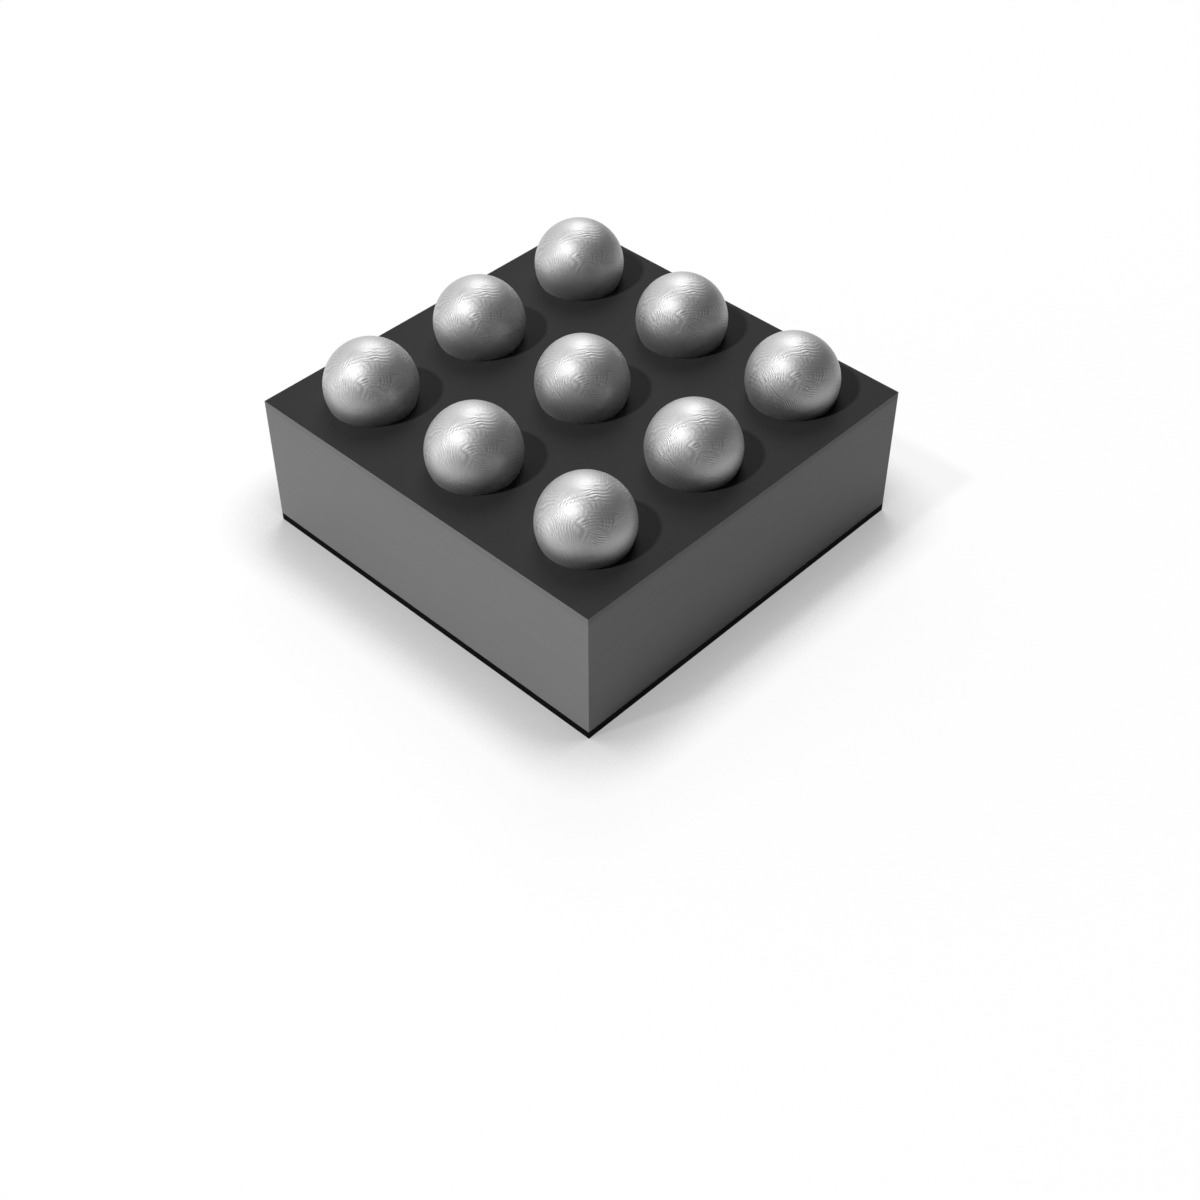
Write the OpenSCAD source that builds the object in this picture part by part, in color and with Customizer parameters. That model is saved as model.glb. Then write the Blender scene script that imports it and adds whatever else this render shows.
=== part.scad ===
// Wafer-level chip-scale ball grid array: a bare silicon die with a black film on its back and, on its
// active face, the redistribution layers that carry a 3 x 3 grid of solder balls.
// Millimetres. The origin is the centre of the seating plane, which the tops of the balls touch. +Z points out
// of the ball side, so the body lies below the origin.

/* [Grid] */
// Centre-to-centre distance of the solder balls
pitch = 0.4; // [0.36:0.01:0.5]
// Distance from the outer ball centres to the edge of the body
edge_margin = 0.206; // [0.19:0.001:0.23]

/* [Solder balls] */
// Height of a ball above the face that it stands on
ball_h = 0.18; // [0.15:0.002:0.21]
// Width of the solder that wets down past the rim of the under-bump metal
solder_wrap = 0.004; // [0.002:0.001:0.006]

/* [Under-bump metal] */
// Diameter of the window in the upper polymer, at the copper
window_d = 0.195; // [0.17:0.005:0.21]
// Width of the under-bump metal's rim on the polymer, outside the window's mouth
bump_rim = 0.014; // [0.008:0.001:0.018]
// Thickness of the under-bump metal
bump_t = 0.005; // [0.003:0.001:0.008]

/* [Body layers] */
// Thickness of the black film on the back of the die
film_t = 0.024; // [0.015:0.001:0.04]
// Thickness of the silicon die
die_t = 0.382; // [0.2:0.001:0.5]
// Thickness of the nitride passivation on the die
passivation_t = 0.002; // [0.0015:0.0005:0.003]
// Thickness of the lower polymer, between passivation and copper
lower_polymer_t = 0.005; // [0.004:0.001:0.008]
// Thickness of the upper polymer over the copper
upper_polymer_t = 0.006; // [0.004:0.001:0.01]
// Slope of the via and window walls in both polymers, in degrees from the face
wall_slope = 60; // [50:5:80]

/* [Copper redistribution] */
// Thickness of the plated copper
copper_t = 0.005; // [0.003:0.001:0.008]
// Width of the copper land's rim outside the under-bump metal
land_rim = 0.01; // [0.004:0.001:0.02]
// Width of a copper trace
trace_w = 0.025; // [0.015:0.001:0.035]
// Reach of the teardrop's tip from the land's centre, as a multiple of the land's radius
teardrop_reach = 1.35; // [1.15:0.05:1.5]
// Diameter of a via's foot on its bond pad
via_d = 0.03; // [0.02:0.001:0.034]
// Width of the copper's rim round a via's mouth
via_rim = 0.008; // [0.004:0.001:0.012]

/* [Bond pads] */
// Side of a square aluminium bond pad
bond_pad_w = 0.052; // [0.05:0.001:0.06]
// Thickness of a bond pad
bond_pad_t = 0.001; // [0.0006:0.0001:0.0012]
// Width of a bond pad's edge that the passivation covers
pad_cover = 0.004; // [0.002:0.001:0.005]
// Distance from an outer bond pad's centre to the edge of the body
bond_inset = 0.045; // [0.04:0.001:0.06]

/* [Index mark] */
// Diameter of the round mark in the film, behind ball A1
mark_d = 0.1; // [0.06:0.01:0.16]
// Depth of the mark
mark_depth = 0.004; // [0.002:0.001:0.01]

/* [Hidden] */
$fn = 72;

FILM_BLACK = [0.04, 0.04, 0.04];
SILICON_GREY = [0.48, 0.48, 0.48];
NITRIDE_BLUE = [0.3, 0.36, 0.42];
POLYMER_AMBER = [0.36, 0.29, 0.16];
POLYMER_DARK = [0.2, 0.2, 0.2];
ALUMINIUM = [0.78, 0.79, 0.8];
COPPER = [0.72, 0.45, 0.28];
PLATED_NICKEL = [0.66, 0.62, 0.54];
SOLDER_GREY = [0.76, 0.76, 0.76];

// The ball sites, as [row, column] steps from the centre ball. Rows A to C run along +Y and columns 1 to 3
// along +X, seen from the balls.
SITES = [for (row = [-1:1], col = [-1:1]) [row, col]];
LAYER_NODES = ["backside_film", "silicon_die", "passivation", "lower_polymer", "upper_polymer"];
SITE_NODES = ["bond_pad", "copper_trace", "under_bump", "solder_ball"];
function site_node(kind, site) = str(kind, "_", "abc"[site[0] + 1], site[1] + 2);

body_w = 2 * (pitch + edge_margin);

// Heights of the faces between the layers, from the seating plane down
face_z = -ball_h;
land_z = face_z - upper_polymer_t;
copper_z = land_z - copper_t;
lower_polymer_z = copper_z - lower_polymer_t;
passivation_z = lower_polymer_z - passivation_t;
die_z = passivation_z - die_t;
film_z = die_z - film_t;
pad_top_z = passivation_z + bond_pad_t;

// How far a sloping window wall leans outwards over a height
function lean(height) = height / tan(wall_slope);

// The vias, from the bond pads up to the copper
via_h = copper_z - pad_top_z;
via_mouth_r = via_d / 2 + lean(via_h);
via_land_r = via_mouth_r + via_rim;

// The bump windows, from the copper's lands up to the top face, and the metal that lines them
window_mouth_r = window_d / 2 + lean(upper_polymer_t);
bump_r = window_mouth_r + bump_rim;
land_r = bump_r + land_rim;

// The metal follows the window's wall at its own thickness, so its dish is a cone beside the window's
wall_offset = bump_t / sin(wall_slope);
dish_floor_r = window_d / 2 + lean(bump_t) - wall_offset;
dish_mouth_r = window_mouth_r + lean(bump_t) - wall_offset;

// A ball is the sphere through its foot circle and its top
foot_r = bump_r + solder_wrap;
ball_r = (foot_r * foot_r + ball_h * ball_h) / (2 * ball_h);

// Cuts run past the faces that they open by this much
cut = 0.01;

// Where a ball stands, and the side of the body that its trace runs to. The outer eight go clockwise, each to
// the gap before the next ball, and the centre one to the middle of four balls.
function ball_xy(site) = pitch * [site[1], site[0]];
function is_centre(site) = site == [0, 0];
function is_corner(site) = abs(site[0] * site[1]) == 1;
function outward(site) = let (x = site[1], y = site[0])
    is_corner(site) ? [x + y, y - x] / 2 : [x, y];
function clockwise(site) = let (out = outward(site)) [out[1], -out[0]];
function along_side(site) = [site[1], site[0]] * clockwise(site);
function bond_xy(site) = is_centre(site)
    ? [pitch, pitch] / 2
    : outward(site) * (body_w / 2 - bond_inset) + clockwise(site) * (along_side(site) + 0.5) * pitch;

// A trace leaves its land at 45 degrees and turns once towards its bond pad
function rise(site) = (bond_xy(site) - ball_xy(site)) * outward(site);
function run(site) = (bond_xy(site) - ball_xy(site)) * clockwise(site);
function knee_xy(site) = is_centre(site)
    ? bond_xy(site)
    : ball_xy(site) + (outward(site) + clockwise(site)) * min(rise(site), run(site));

module at(xy, z) {
    translate([xy[0], xy[1], z]) children();
}

// A slab of the body's outline, from height z up
module body_slab(z, thickness) {
    translate([-body_w / 2, -body_w / 2, z]) cube([body_w, body_w, thickness]);
}

module square_block(side, height) {
    translate([-side / 2, -side / 2, 0]) cube([side, side, height]);
}

// A cone that widens by the wall's lean, with its foot at z = 0
module leaning_plug(foot_radius, height) {
    cylinder(r1 = foot_radius, r2 = foot_radius + lean(height), h = height);
}

module backside_film() {
    color(FILM_BLACK) difference() {
        body_slab(film_z, film_t);
        at(ball_xy(SITES[0]), film_z - cut) cylinder(d = mark_d, h = cut + mark_depth);
    }
}

module silicon_die() {
    color(SILICON_GREY) body_slab(die_z, die_t);
}

module bond_pad_solid(site) {
    at(bond_xy(site), passivation_z) square_block(bond_pad_w, bond_pad_t);
}

module bond_pad(site) {
    color(ALUMINIUM) bond_pad_solid(site);
}

// The passivation covers the rim of each bond pad and is open over its middle
module passivation() {
    color(NITRIDE_BLUE) difference() {
        body_slab(passivation_z, passivation_t);
        for (site = SITES) {
            bond_pad_solid(site);
            at(bond_xy(site), pad_top_z) square_block(bond_pad_w - 2 * pad_cover, passivation_t);
        }
    }
}

// The lower polymer fills the passivation's openings, apart from the vias
module lower_polymer() {
    color(POLYMER_AMBER) difference() {
        union() {
            body_slab(lower_polymer_z, lower_polymer_t);
            for (site = SITES)
                at(bond_xy(site), pad_top_z) square_block(bond_pad_w - 2 * pad_cover, via_h);
        }
        for (site = SITES)
            at(bond_xy(site), pad_top_z - cut) {
                cylinder(d = via_d, h = cut);
                translate([0, 0, cut]) leaning_plug(via_d / 2, via_h);
            }
    }
}

// A straight length of trace with round ends
module trace_run(from, to) {
    length = norm(to - from);
    at(from, copper_z) rotate(atan2(to[1] - from[1], to[0] - from[0]))
        translate([0, -trace_w / 2, 0]) cube([length, trace_w, copper_t]);
    for (end = [from, to]) at(end, copper_z) cylinder(d = trace_w, h = copper_t);
}

// The widening where a trace joins a round land: a triangle between the two tangents from its tip
module teardrop(centre, radius, towards) {
    tip = teardrop_reach * radius;
    tangent = acos(radius / tip);
    at(centre, copper_z) rotate(atan2(towards[1] - centre[1], towards[0] - centre[0]))
        linear_extrude(copper_t)
            polygon([
                [0, 0],
                radius * [cos(tangent), -sin(tangent)],
                [tip, 0],
                radius * [cos(tangent), sin(tangent)]
            ]);
}

module copper_trace_solid(site) {
    ball = ball_xy(site);
    knee = knee_xy(site);
    bond = bond_xy(site);
    at(ball, copper_z) cylinder(r = land_r, h = copper_t);
    teardrop(ball, land_r, knee);
    trace_run(ball, knee);
    if (norm(bond - knee) > 0) trace_run(knee, bond);
    at(bond, copper_z) cylinder(r = via_land_r, h = copper_t);
    at(bond, pad_top_z) leaning_plug(via_d / 2, via_h);
}

module copper_trace(site) {
    color(COPPER) copper_trace_solid(site);
}

// The upper polymer buries the copper and is open over each land
module upper_polymer() {
    color(POLYMER_DARK) difference() {
        body_slab(copper_z, face_z - copper_z);
        for (site = SITES) {
            copper_trace_solid(site);
            at(ball_xy(site), land_z) leaning_plug(window_d / 2, upper_polymer_t + cut);
        }
    }
}

// A dished disc that lines the window and lies over its edge
module under_bump(site) {
    color(PLATED_NICKEL) at(ball_xy(site), land_z) rotate_extrude()
        polygon([
            [0, 0],
            [window_d / 2, 0],
            [window_mouth_r, upper_polymer_t],
            [bump_r, upper_polymer_t],
            [bump_r, upper_polymer_t + bump_t],
            [dish_mouth_r, upper_polymer_t + bump_t],
            [dish_floor_r, bump_t],
            [0, bump_t]
        ]);
}

// A cut sphere whose foot wraps the under-bump metal's rim and fills its dish
module solder_ball(site) {
    color(SOLDER_GREY) at(ball_xy(site), face_z) {
        difference() {
            translate([0, 0, ball_h - ball_r]) sphere(r = ball_r);
            translate([0, 0, -ball_r]) square_block(2 * ball_r + cut, ball_r);
            translate([0, 0, -cut]) cylinder(r = bump_r, h = cut + bump_t);
        }
        translate([0, 0, bump_t - upper_polymer_t]) leaning_plug(dish_floor_r, upper_polymer_t);
    }
}

backside_film();
silicon_die();
passivation();
lower_polymer();
upper_polymer();
for (site = SITES) {
    bond_pad(site);
    copper_trace(site);
    under_bump(site);
    solder_ball(site);
}
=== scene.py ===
"""The looks of a wafer-level ball grid array chip, lying on its back with its solder balls up.

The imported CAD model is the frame, and its body keeps the CAD solids. Here they get their finish, the nine
solder balls become smooth reflowed balls in the same places, and the chip gets a floor, lamps and a camera.
"""

import math

import bpy
from mathutils import Matrix, Vector


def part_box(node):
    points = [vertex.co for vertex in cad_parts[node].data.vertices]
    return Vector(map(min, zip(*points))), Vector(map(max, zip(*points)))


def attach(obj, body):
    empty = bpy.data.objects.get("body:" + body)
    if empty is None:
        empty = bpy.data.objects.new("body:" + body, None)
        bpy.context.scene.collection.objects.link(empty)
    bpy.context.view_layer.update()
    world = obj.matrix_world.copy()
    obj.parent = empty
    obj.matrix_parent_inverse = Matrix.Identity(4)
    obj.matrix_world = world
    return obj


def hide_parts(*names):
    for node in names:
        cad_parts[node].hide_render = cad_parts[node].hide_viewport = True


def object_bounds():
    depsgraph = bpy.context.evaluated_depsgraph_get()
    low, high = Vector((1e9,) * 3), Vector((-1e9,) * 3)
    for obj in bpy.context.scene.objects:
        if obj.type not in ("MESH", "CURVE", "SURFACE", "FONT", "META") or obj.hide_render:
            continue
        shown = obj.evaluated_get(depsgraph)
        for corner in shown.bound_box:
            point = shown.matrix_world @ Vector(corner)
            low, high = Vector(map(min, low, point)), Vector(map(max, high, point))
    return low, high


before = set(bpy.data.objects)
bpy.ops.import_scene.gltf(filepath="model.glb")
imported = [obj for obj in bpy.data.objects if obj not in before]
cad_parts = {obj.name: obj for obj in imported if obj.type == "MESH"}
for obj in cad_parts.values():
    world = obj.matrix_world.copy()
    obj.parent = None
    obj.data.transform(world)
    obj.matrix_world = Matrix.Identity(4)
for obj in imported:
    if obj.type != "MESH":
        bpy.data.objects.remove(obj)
cad_lo, cad_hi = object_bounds()

MM = 0.001              # everything below is in millimetres until it becomes an object
UM = 0.001              # one micrometre, in millimetres
UPWARDS = Vector((0, 0, 1))


def towards(azimuth, elevation):
    """The direction at those degrees: azimuth from +X towards +Y, and elevation up from level."""
    a, e = math.radians(azimuth), math.radians(elevation)
    return Vector((math.cos(a) * math.cos(e), math.sin(a) * math.cos(e), math.sin(e)))


def grey(value, warmth=0.0):
    """A grey of that linear value. A warmer one has more red and less blue."""
    return (value * (1 + warmth), value, value * (1 - warmth), 1.0)


def shades(value, spread, warmth=0.0):
    """The darkest and the lightest grey round a value. Warmth makes the dark one warm, and the light cool."""
    return grey(value * (1 - spread), warmth), grey(value * (1 + spread), -warmth)


# ---------------------------------------------------------------- nodes
class Nodes:
    """A material's or the world's node tree, emptied. Short calls add a node to it and give its output."""

    def __init__(self, owner):
        owner.use_nodes = True
        self.tree = owner.node_tree
        self.tree.nodes.clear()

    def add(self, kind, inputs=None, **settings):
        """A node with these settings. An input is a plain value, or another node's output."""
        node = self.tree.nodes.new(kind)
        for name, value in settings.items():
            setattr(node, name, value)
        for name, value in (inputs or {}).items():
            socket = node.inputs[name]
            if isinstance(value, bpy.types.NodeSocket):
                self.tree.links.new(value, socket)
            else:
                socket.default_value = value
        return node

    def math(self, operation, *values):
        return self.add("ShaderNodeMath", dict(enumerate(values)), operation=operation).outputs[0]

    def vector(self, operation, *values):
        node = self.add("ShaderNodeVectorMath", dict(enumerate(values)), operation=operation)
        return node.outputs["Value" if operation in ("DOT_PRODUCT", "LENGTH") else "Vector"]

    def total(self, *shares):
        """The sum of values, each times its weight. They come as pairs, the weight first."""
        products = [self.math("MULTIPLY", value, weight) for weight, value in shares]
        result = products[0]
        for product in products[1:]:
            result = self.math("ADD", result, product)
        return result

    def mix(self, factor, a, b):
        """Colour a where factor is 0, and b where it is 1."""
        return self.add("ShaderNodeMix", {0: factor, 6: a, 7: b}, data_type="RGBA").outputs[2]

    def span(self, value, low, high, to_low=0.0, to_high=1.0, ease="LINEAR"):
        """value, taken from low..high to to_low..to_high, and held there."""
        return self.add("ShaderNodeMapRange", {
            "Value": value, "From Min": low, "From Max": high, "To Min": to_low, "To Max": to_high,
        }, interpolation_type=ease).outputs[0]

    def place(self, scale=(1, 1, 1), shift=(0, 0, 0)):
        """The point in the object's own space in millimetres, scaled and shifted."""
        point = self.add("ShaderNodeTexCoord").outputs["Object"]
        return self.add("ShaderNodeMapping", {
            "Vector": point, "Scale": [s / MM for s in scale], "Location": shift,
        }).outputs[0]

    def noise(self, point, scale, detail=2.0, roughness=0.5, output="Fac"):
        """Noise with that many features to the millimetre."""
        return self.add("ShaderNodeTexNoise", {
            "Vector": point, "Scale": scale, "Detail": detail, "Roughness": roughness,
        }).outputs[output]

    def bump(self, height, depth):
        """A normal from a height between 0 and 1, that is depth millimetres deep."""
        return self.add("ShaderNodeBump", {
            "Strength": 1.0, "Distance": depth * MM, "Height": height}).outputs[0]

    def surface(self, **inputs):
        """Ends the tree in a Principled shader."""
        named = {name.replace("_", " "): value for name, value in inputs.items()}
        shader = self.add("ShaderNodeBsdfPrincipled", named)
        self.add("ShaderNodeOutputMaterial", {"Surface": shader.outputs[0]})


def material(name):
    """A new material, and its nodes."""
    made = bpy.data.materials.new(name)
    return made, Nodes(made)


# ---------------------------------------------------------------- materials of the chip
# Colours are linear. A pair is the darkest and the lightest that a surface has.
SILICON = 0.168
POLYMER = 0.034         # the dark face that the balls stand on
FILM_BACK = 0.014
FILM_EDGE = 0.0015
SOLDER = 0.58
NITRIDE = (0.05, 0.07, 0.09, 1), (0.06, 0.08, 0.10, 1)
AMBER = (0.16, 0.08, 0.02, 1), (0.20, 0.10, 0.03, 1)
COPPER = (0.72, 0.36, 0.24, 1), (0.80, 0.44, 0.30, 1)
ALUMINIUM = grey(0.78), grey(0.86)
NICKEL = grey(0.58, 0.03), grey(0.66, 0.03)

# Where most of a noise lies. It is spread over a surface's whole range of colour or roughness.
MIDDLE = (0.35, 0.65)
WIDE_MIDDLE = (0.3, 0.7)

SAW_STREAKS = (0.6, 0.6, 60)    # to the millimetre along X, Y and Z: long and level
SAWN_TILT = 0.3         # a face whose normal rises less than this was cut by the saw
METAL_SPREAD = 0.06     # in the roughness of the metals inside the chip

LINE_SETS = (           # grains to the millimetre, distance between their lines, and shift of the pattern
    (12.0, 0.0068, 0.0),
    (17.0, 0.0059, 5.0),
)
LINE_BEND = 0.035       # how far the lines are bent
LINE_BENDS = 16.0       # to the millimetre
LINE_FADE = (0.25, 0.65)        # from a grain's middle to its edge, as a share of the grain's size
LINE_PATCHES = 15.0     # stronger and fainter places, to the millimetre
LINE_PATCH_EDGE = (0.30, 0.55)
LINE_FAINTEST = 0.25
LINE_COLOUR = 0.16      # the lines' share in the solder's colour
LINE_HEIGHT = 0.5       # and in its height
SOLDER_TONE = 0.4       # where its colour lies between dark and light before the rest is added


def silicon_finish(n):
    """Colour, roughness and height of a sawn silicon face: level streaks of the blade, and a fine grain."""
    streak = n.noise(n.place(scale=SAW_STREAKS), scale=1.0, detail=3, roughness=0.6)
    grain = n.noise(n.place(), scale=160)
    cloud = n.noise(n.place(), scale=3.5)
    tone = n.total((0.5, streak), (0.3, grain), (0.2, cloud))
    colour = n.mix(n.span(tone, *MIDDLE), *shades(SILICON, 0.05))
    return colour, n.span(tone, *MIDDLE, 0.50, 0.60), tone


def silicon_material():
    made, n = material("sawn_silicon")
    colour, roughness, height = silicon_finish(n)
    n.surface(Base_Color=colour, Roughness=roughness, Normal=n.bump(height, 0.10 * UM),
              Specular_IOR_Level=0.15)
    return made


def edge_mask(n):
    """1 on a face that looks sideways, where the saw went through, and 0 on one that looks up or down."""
    normal = n.add("ShaderNodeNewGeometry").outputs["True Normal"]
    rise = n.math("ABSOLUTE", n.vector("DOT_PRODUCT", normal, UPWARDS))
    return n.math("LESS_THAN", rise, SAWN_TILT)


def layer_material(name, colours, roughness, grain_scale, depth):
    """A thin layer on the die. Its own colour shows from above, and its sawn edge takes the colour of sawn
    silicon.
    """
    made, n = material(name)
    grain = n.noise(n.place(), grain_scale, detail=3, roughness=0.6)
    cloud = n.noise(n.place(shift=(7, 3, 1)), scale=2.2, detail=3, roughness=0.55)
    tone = n.total((0.6, grain), (0.4, cloud))
    edge = edge_mask(n)
    face = n.math("SUBTRACT", 1.0, edge)
    edge_colour, edge_roughness, _ = silicon_finish(n)
    n.surface(Base_Color=n.mix(edge, n.mix(n.span(tone, *MIDDLE), *colours), edge_colour),
              Roughness=n.total((edge, edge_roughness), (face, n.span(tone, *MIDDLE, *roughness))),
              Normal=n.bump(grain, depth), Specular_IOR_Level=0.04)
    return made


def film_material():
    """The black film. Its printed back has a fine matt grain, and its sawn edge is blacker and plainer."""
    made, n = material("black_film")
    grain = n.noise(n.place(), scale=220, detail=3, roughness=0.6)
    cloud = n.noise(n.place(), scale=3.0)
    tone = n.total((0.6, grain), (0.4, cloud))
    back = n.mix(n.span(tone, *MIDDLE), *shades(FILM_BACK, 0.25))
    edge = n.mix(n.span(tone, *MIDDLE), *shades(FILM_EDGE, 0.2))
    n.surface(Base_Color=n.mix(edge_mask(n), back, edge), Roughness=n.span(tone, *MIDDLE, 0.5, 0.7),
              Normal=n.bump(grain, 0.3 * UM), Specular_IOR_Level=0.03)
    return made


def metal_material(name, colours, roughness, grain_scale, depth):
    """A plated or printed metal inside the chip, with a fine grain."""
    made, n = material(name)
    grain = n.noise(n.place(), grain_scale, detail=3, roughness=0.6)
    n.surface(Base_Color=n.mix(n.span(grain, *MIDDLE), *colours), Metallic=1.0,
              Roughness=n.span(grain, *WIDE_MIDDLE, roughness - METAL_SPREAD, roughness + METAL_SPREAD),
              Normal=n.bump(grain, depth))
    return made


def solder_lines(n, point):
    """The parallel arms in which the solder froze, as waves round 0. In each grain they run another way."""
    bend = n.noise(point, LINE_BENDS, detail=1, output="Color")
    bent = n.vector("ADD", point, n.vector("MULTIPLY", bend, [LINE_BEND] * 3))
    sets = []
    for grains, pitch, shift in LINE_SETS:
        grain = n.add("ShaderNodeTexVoronoi", {
            "Vector": n.vector("ADD", bent, [shift] * 3), "Scale": grains}).outputs
        way = n.vector("NORMALIZE", n.vector("SUBTRACT", grain["Color"], (0.5, 0.5, 0.5)))
        wave = n.math("SINE", n.math("MULTIPLY", n.vector("DOT_PRODUCT", way, bent), 2 * math.pi / pitch))
        sets.append(n.math("MULTIPLY", wave, n.span(grain["Distance"], *LINE_FADE, 1.0, 0.0)))
    strength = n.span(n.noise(point, LINE_PATCHES), *LINE_PATCH_EDGE, LINE_FAINTEST, 1.0)
    return n.math("MULTIPLY", n.math("ADD", *sets), strength)


def solder_material():
    """Satin reflowed solder, with the fine lines of its grains."""
    made, n = material("satin_solder")
    point = n.place()
    lines = solder_lines(n, point)
    fine = n.noise(point, scale=130)
    cloud = n.noise(point, scale=9, detail=3, roughness=0.55)
    tone = n.total((LINE_COLOUR, lines), (0.10, cloud), (0.10, fine))
    n.surface(Base_Color=n.mix(n.math("ADD", tone, SOLDER_TONE), *shades(SOLDER, 0.5, warmth=0.004)),
              Metallic=1.0, Roughness=n.span(cloud, *WIDE_MIDDLE, 0.55, 0.59),
              Normal=n.bump(n.math("ADD", n.math("MULTIPLY", lines, LINE_HEIGHT), fine), 0.52 * UM))
    return made


FINISH = {
    "backside_film": film_material(),
    "silicon_die": silicon_material(),
    "passivation": layer_material("nitride_skin", NITRIDE, roughness=(0.25, 0.35), grain_scale=90,
                                  depth=0.02 * UM),
    "lower_polymer": layer_material("first_polymer", AMBER, roughness=(0.4, 0.5), grain_scale=120,
                                    depth=0.05 * UM),
    "upper_polymer": layer_material("dark_polymer", shades(POLYMER, 0.07), roughness=(0.6, 0.7),
                                    grain_scale=120, depth=0.12 * UM),
    "bond_pad": metal_material("aluminium", ALUMINIUM, roughness=0.35, grain_scale=200, depth=0.03 * UM),
    "copper": metal_material("plated_copper", COPPER, roughness=0.35, grain_scale=180, depth=0.05 * UM),
    "under_bump": metal_material("nickel", NICKEL, roughness=0.3, grain_scale=180, depth=0.03 * UM),
    "solder": solder_material(),
}

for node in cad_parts.values():
    for slot in node.material_slots:
        slot.material = FINISH[slot.material.name]

# ---------------------------------------------------------------- solder balls
# Radii that the frame's boxes don't give
FOOT_R = 0.119          # where the ball meets the polymer, outside the under-bump metal's rim
DISH_MOUTH_R = 0.09808  # the dish in the under-bump metal, which the ball fills
DISH_FLOOR_R = 0.09461

SEGMENTS = 128          # round the ball
RINGS = 60              # from the foot to the top
SHARP_TURN = math.radians(30)   # an edge that turns by more isn't smoothed


def ball_profile(site):
    """A ball's outline as (radius, height) in millimetres, from the middle of its underside to its top.

    Its underside fills the dish of the under-bump metal and wraps the metal's rim. Above that it is the
    sphere through its foot circle and its top.
    """
    face_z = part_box("upper_polymer")[1].z / MM
    ball_lo, ball_hi = (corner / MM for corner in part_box(f"solder_ball_{site}"))
    bump_lo, bump_hi = (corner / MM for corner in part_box(f"under_bump_{site}"))
    bump_r = (bump_hi.x - bump_lo.x) / 2
    outline = [(0.0, ball_lo.z), (DISH_FLOOR_R, ball_lo.z), (DISH_MOUTH_R, bump_hi.z), (bump_r, bump_hi.z),
               (bump_r, face_z)]

    ball_h = ball_hi.z - face_z
    ball_r = (FOOT_R ** 2 + ball_h ** 2) / (2 * ball_h)
    middle_z = ball_hi.z - ball_r
    foot_angle = math.atan2(face_z - middle_z, FOOT_R)
    for ring in range(RINGS):
        angle = foot_angle + (math.pi / 2 - foot_angle) * ring / RINGS
        outline.append((ball_r * math.cos(angle), middle_z + ball_r * math.sin(angle)))
    outline.append((0.0, ball_hi.z))
    return outline


def lathe(name, outline, x, y):
    """A closed mesh turned round an upright axis at x, y. The outline's two ends lie on the axis."""
    middle_z = (outline[0][1] + outline[-1][1]) / 2
    turns = [2 * math.pi * step / SEGMENTS for step in range(SEGMENTS)]
    vertices = [(0.0, 0.0, outline[0][1])]
    vertices += [(radius * math.cos(turn), radius * math.sin(turn), height)
                 for radius, height in outline[1:-1] for turn in turns]
    vertices += [(0.0, 0.0, outline[-1][1])]
    last = len(vertices) - 1
    last_ring = len(outline) - 3    # rings count from 0, and the outline's ends are no rings

    def at(ring, step):
        return 1 + ring * SEGMENTS + step % SEGMENTS

    faces = [(0, at(0, s + 1), at(0, s)) for s in range(SEGMENTS)]
    faces += [(at(r, s), at(r, s + 1), at(r + 1, s + 1), at(r + 1, s))
              for r in range(last_ring) for s in range(SEGMENTS)]
    faces += [(last, at(last_ring, s), at(last_ring, s + 1)) for s in range(SEGMENTS)]
    mesh = bpy.data.meshes.new(name)
    mesh.from_pydata([Vector((vx, vy, vz - middle_z)) * MM for vx, vy, vz in vertices], [], faces)
    mesh.shade_smooth()
    mesh.set_sharp_from_angle(angle=SHARP_TURN)
    turned = bpy.data.objects.new(name, mesh)
    turned.location = Vector((x, y, middle_z)) * MM
    bpy.context.scene.collection.objects.link(turned)
    return turned


for site in (row + column for row in "abc" for column in "123"):
    ball_lo, ball_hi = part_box(f"solder_ball_{site}")
    centre = (ball_lo + ball_hi) / 2 / MM
    ball = lathe(f"reflowed_ball_{site}", ball_profile(site), centre.x, centre.y)
    ball.data.materials.append(FINISH["solder"])
    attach(ball, "root")
    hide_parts(f"solder_ball_{site}")

# ---------------------------------------------------------------- floor
FLOOR_R = 250.0
FLOOR_SIDES = 96
FLOOR_GAP = 0.2 * UM    # so that the film's underside and the floor aren't in one plane

# Painted light: the floor's white fades to grey away from the chip.
LIGHT_POOL_CENTRE = (-0.64, 0.64, 0.0)        # the middle of the painted light on the floor, the white part, which the camera sees
LIGHT_POOL_R = 3.45
LIGHT_POOL_FADE = 1.5         # the width over which it falls away
LIGHT_POOL_OUTSIDE = 0.25     # the level beyond that

FLOOR_OWN = 0.85        # the share of what is seen of the floor that is its own white
# Painted shadow: occlusion near the chip darkens the floor's own white where the chip's shadow falls.
PAINTED_SHADOW_REACH = 0.22     # how near the chip the painted shadow darkens that white
PAINTED_SHADOW_SPAN = (0.5, 0.95)       # how open the floor is where the white is darkest, and where it is full
PAINTED_SHADOW_POWER = 2.2      # keeps the dark close to the chip
PAINTED_SHADOW_DARKEST = 0.42
PAINTED_SHADOW_SAMPLES = 4


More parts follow.
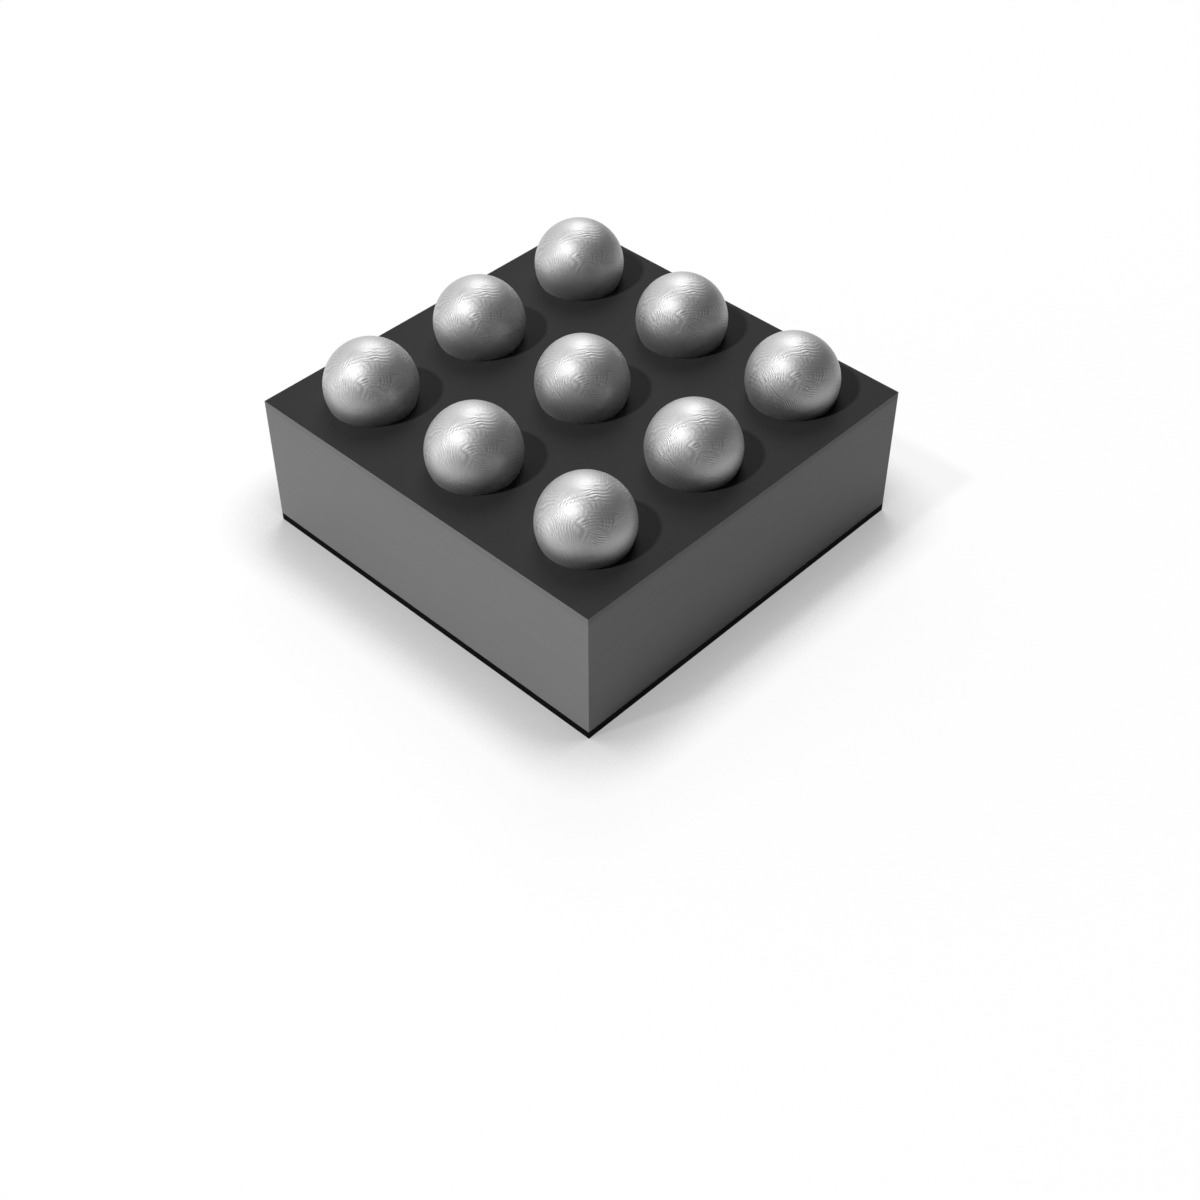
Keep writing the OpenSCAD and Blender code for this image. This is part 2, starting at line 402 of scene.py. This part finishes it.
def floor_material():
    """A white table top round the chip. Its white is painted light that falls away to grey outside the
    picture, for the balls' dark sides.

    What looks at it, camera and shiny solder alike, sees mostly its own glowing white, with a painted shadow
    from occlusion near the chip's foot, and for the rest the lamps on it with the chip's real shadow. To all
    other light it is white paint, greyed away from the chip by the same painted light.
    """
    made, n = material("white_floor")
    cloud = n.noise(n.place(), scale=0.4)
    paint = n.mix(n.span(cloud, *WIDE_MIDDLE), grey(0.97), grey(0.99))
    # Painted light: the floor's white fades to grey away from its middle.
    reach = n.vector("LENGTH", n.vector("SUBTRACT", n.place(), LIGHT_POOL_CENTRE))
    light_pool = n.span(reach, LIGHT_POOL_R, LIGHT_POOL_R + LIGHT_POOL_FADE, 1.0, LIGHT_POOL_OUTSIDE, ease="SMOOTHSTEP")
    # Painted shadow: the occlusion near the chip darkens the floor's glow.
    openness = n.add("ShaderNodeAmbientOcclusion", {"Distance": PAINTED_SHADOW_REACH * MM},
                     samples=PAINTED_SHADOW_SAMPLES).outputs["AO"]
    painted_crease_shadow = n.math("POWER", n.span(openness, *PAINTED_SHADOW_SPAN), PAINTED_SHADOW_POWER)
    # The glow with painted shade: the painted shadow near the chip, and the painted light's fall to grey.
    glow_with_painted_shade = n.math("MULTIPLY", light_pool, n.span(painted_crease_shadow, 0.0, 1.0, PAINTED_SHADOW_DARKEST, 1.0))

    # The paint greys away from the chip too, as painted light.
    lit = n.add("ShaderNodeBsdfDiffuse", {"Color": n.mix(light_pool, grey(0.0), paint)}).outputs[0]
    own = n.add("ShaderNodeEmission", {"Color": grey(1.0), "Strength": glow_with_painted_shade}).outputs[0]
    ray = n.add("ShaderNodeLightPath").outputs
    seen = n.math("MAXIMUM", ray["Is Camera Ray"],
                  n.math("MAXIMUM", ray["Is Glossy Ray"], ray["Is Transmission Ray"]))
    shader = n.add("ShaderNodeMixShader", {0: n.math("MULTIPLY", seen, FLOOR_OWN), 1: lit, 2: own})
    n.add("ShaderNodeOutputMaterial", {"Surface": shader.outputs[0]})
    return made


bpy.ops.mesh.primitive_circle_add(vertices=FLOOR_SIDES, radius=FLOOR_R * MM, fill_type="NGON",
                                  location=(0, 0, cad_lo.z - FLOOR_GAP * MM))
floor = bpy.context.object
floor.name = "floor"
floor.data.materials.append(floor_material())

# ---------------------------------------------------------------- lamps
LAMP_DISTANCE = 70.0


def softbox(name, azimuth, elevation, width, height, level):
    """A lamp whose face is width by height degrees across, seen from the chip.

    A level of 1 lights a white surface that faces the lamp to a plain white.
    """
    lamp = bpy.data.lights.new(name, "AREA")
    lamp.shape = "ELLIPSE"
    lamp.size = 2 * LAMP_DISTANCE * math.tan(math.radians(width / 2)) * MM
    lamp.size_y = 2 * LAMP_DISTANCE * math.tan(math.radians(height / 2)) * MM
    lamp.energy = level * math.pi ** 2 * ((LAMP_DISTANCE * MM) ** 2 + lamp.size * lamp.size_y / 4)
    direction = towards(azimuth, elevation)
    holder = bpy.data.objects.new(name, lamp)
    holder.matrix_world = Matrix.Translation(direction * LAMP_DISTANCE * MM) @ \
        direction.to_track_quat("Z", "Y").to_matrix().to_4x4()
    holder.visible_camera = False
    bpy.context.scene.collection.objects.link(holder)


softbox("key", azimuth=251.3, elevation=53.3, width=4, height=4, level=0.62)
softbox("fill", azimuth=129, elevation=50, width=30, height=30, level=0.44)
softbox("side", azimuth=236, elevation=6, width=36, height=12, level=0.19)

# ---------------------------------------------------------------- room
WALL_DIRECTION = towards(176, 5)
WALL_EDGE = (math.radians(30), math.radians(66))    # where it begins to fade, and where it is gone
WALL_LEVEL = 0.9
ROOM_LEVEL = 0.05
HAZE_LEVEL = 0.22
HAZE_TOP = 0.25         # how far a direction has to rise to be clear of it


def studio_world():
    """A dark room with a bright wall behind the chip, left in the picture, and a haze low down all round."""
    world = bpy.data.worlds.new("studio")
    n = Nodes(world)
    direction = n.vector("NORMALIZE", n.add("ShaderNodeTexCoord").outputs["Generated"])
    off_wall = n.math("ARCCOSINE", n.vector("DOT_PRODUCT", direction, WALL_DIRECTION))
    wall = n.span(off_wall, *WALL_EDGE, WALL_LEVEL, ROOM_LEVEL, ease="SMOOTHSTEP")
    rise = n.math("ABSOLUTE", n.vector("DOT_PRODUCT", direction, UPWARDS))
    haze = n.span(rise, 0.0, HAZE_TOP, HAZE_LEVEL, 0.0)
    light = n.add("ShaderNodeBackground", {"Color": grey(1.0), "Strength": n.math("MAXIMUM", wall, haze)})
    n.add("ShaderNodeOutputWorld", {"Surface": light.outputs[0]})
    return world


bpy.context.scene.world = studio_world()

# ---------------------------------------------------------------- camera, as the picture was taken
# The body's edges and the balls' outlines in the picture give its place, directions and lens.
CAMERA_PLACE = Vector((2.7443, -2.8030, 2.8616))
CAMERA_RIGHT = Vector((0.72298, 0.69087, -0.00003))
CAMERA_BACK = Vector((0.49570, -0.51872, 0.69657))  # away from what it looks at
CAMERA_SENSOR = 36.0    # sensor and lens as on a real camera
CAMERA_LENS = 54.76
CAMERA_NEAR = 0.1
CAMERA_FAR = 2000.0

camera_data = bpy.data.cameras.new("camera")
camera_data.lens = CAMERA_LENS
camera_data.sensor_width = CAMERA_SENSOR
camera_data.clip_start = CAMERA_NEAR * MM
camera_data.clip_end = CAMERA_FAR * MM
camera = bpy.data.objects.new("camera", camera_data)
camera_up = CAMERA_BACK.cross(CAMERA_RIGHT).normalized()
camera.matrix_world = Matrix.Translation(CAMERA_PLACE * MM) @ \
    Matrix((CAMERA_RIGHT, camera_up, CAMERA_BACK)).transposed().to_4x4()
bpy.context.scene.collection.objects.link(camera)
bpy.context.scene.camera = camera
bpy.context.scene.view_settings.view_transform = "Standard"
